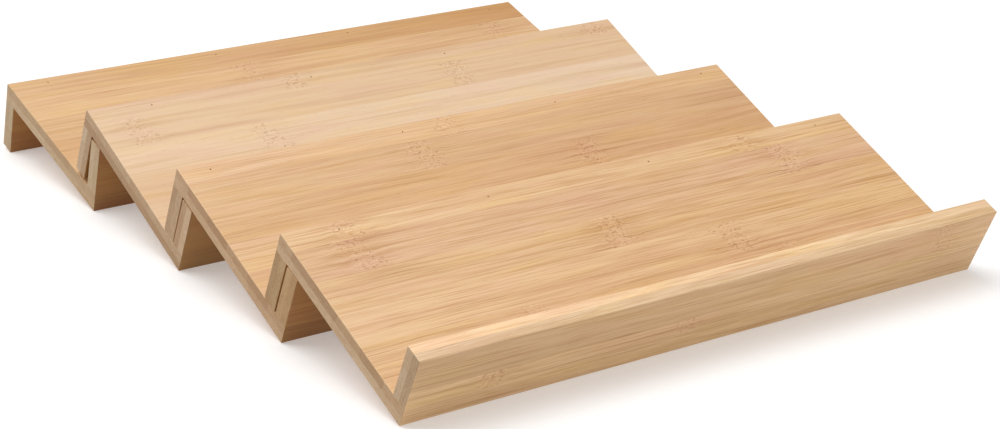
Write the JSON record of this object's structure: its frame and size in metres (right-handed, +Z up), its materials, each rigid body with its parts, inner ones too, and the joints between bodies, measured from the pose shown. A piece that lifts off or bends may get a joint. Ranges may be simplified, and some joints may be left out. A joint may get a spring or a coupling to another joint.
{
  "type": "tiered rack",
  "caption": "Low stepped bamboo rack: sloping shelf boards with upright front lips, each tier hooked over the lip of the one behind it.",
  "frame": {"origin": "middle of the footprint, on the surface that the rack stands on", "axes": "+X to the right along the boards, -Y to the front, where the last lip is, +Z up"},
  "size_m": [0.337, 0.4328, 0.0551],
  "materials": {
    "tier_1_bamboo": "satin",
    "tier_2_bamboo": "satin",
    "tier_3_bamboo": "satin",
    "tier_4_bamboo": "satin",
    "pin_steel": "satin"
  },
  "bodies": {
    "tier_1": {"tier_1_shelf": "tier_1_bamboo", "tier_1_rear_leg": "tier_1_bamboo", "tier_1_front_lip": "tier_1_bamboo", "tier_1_leg_pin_1": "pin_steel", "tier_1_leg_pin_2": "pin_steel", "tier_1_leg_pin_3": "pin_steel", "tier_1_leg_pin_4": "pin_steel", "tier_1_lip_pin_1": "pin_steel", "tier_1_lip_pin_2": "pin_steel", "tier_1_lip_pin_3": "pin_steel", "tier_1_lip_pin_4": "pin_steel"},
    "tier_2": {"tier_2_shelf": "tier_2_bamboo", "tier_2_rear_leg": "tier_2_bamboo", "tier_2_front_lip": "tier_2_bamboo", "tier_2_leg_pin_1": "pin_steel", "tier_2_leg_pin_2": "pin_steel", "tier_2_leg_pin_3": "pin_steel", "tier_2_leg_pin_4": "pin_steel", "tier_2_lip_pin_1": "pin_steel", "tier_2_lip_pin_2": "pin_steel", "tier_2_lip_pin_3": "pin_steel", "tier_2_lip_pin_4": "pin_steel"},
    "tier_3": {"tier_3_shelf": "tier_3_bamboo", "tier_3_rear_leg": "tier_3_bamboo", "tier_3_front_lip": "tier_3_bamboo", "tier_3_leg_pin_1": "pin_steel", "tier_3_leg_pin_2": "pin_steel", "tier_3_leg_pin_3": "pin_steel", "tier_3_leg_pin_4": "pin_steel", "tier_3_lip_pin_1": "pin_steel", "tier_3_lip_pin_2": "pin_steel", "tier_3_lip_pin_3": "pin_steel", "tier_3_lip_pin_4": "pin_steel"},
    "tier_4": {"tier_4_shelf": "tier_4_bamboo", "tier_4_rear_leg": "tier_4_bamboo", "tier_4_front_lip": "tier_4_bamboo", "tier_4_leg_pin_1": "pin_steel", "tier_4_leg_pin_2": "pin_steel", "tier_4_leg_pin_3": "pin_steel", "tier_4_leg_pin_4": "pin_steel", "tier_4_lip_pin_1": "pin_steel", "tier_4_lip_pin_2": "pin_steel", "tier_4_lip_pin_3": "pin_steel", "tier_4_lip_pin_4": "pin_steel"}
  },
  "joints": [
    {"name": "tier_2_lift", "type": "slide", "parent": "tier_1", "child": "tier_2", "axis": [0, 0, 1], "range_m": [0, 0.08]},
    {"name": "tier_3_lift", "type": "slide", "parent": "tier_2", "child": "tier_3", "axis": [0, 0, 1], "range_m": [0, 0.08]},
    {"name": "tier_4_lift", "type": "slide", "parent": "tier_3", "child": "tier_4", "axis": [0, 0, 1], "range_m": [0, 0.08]}
  ]
}
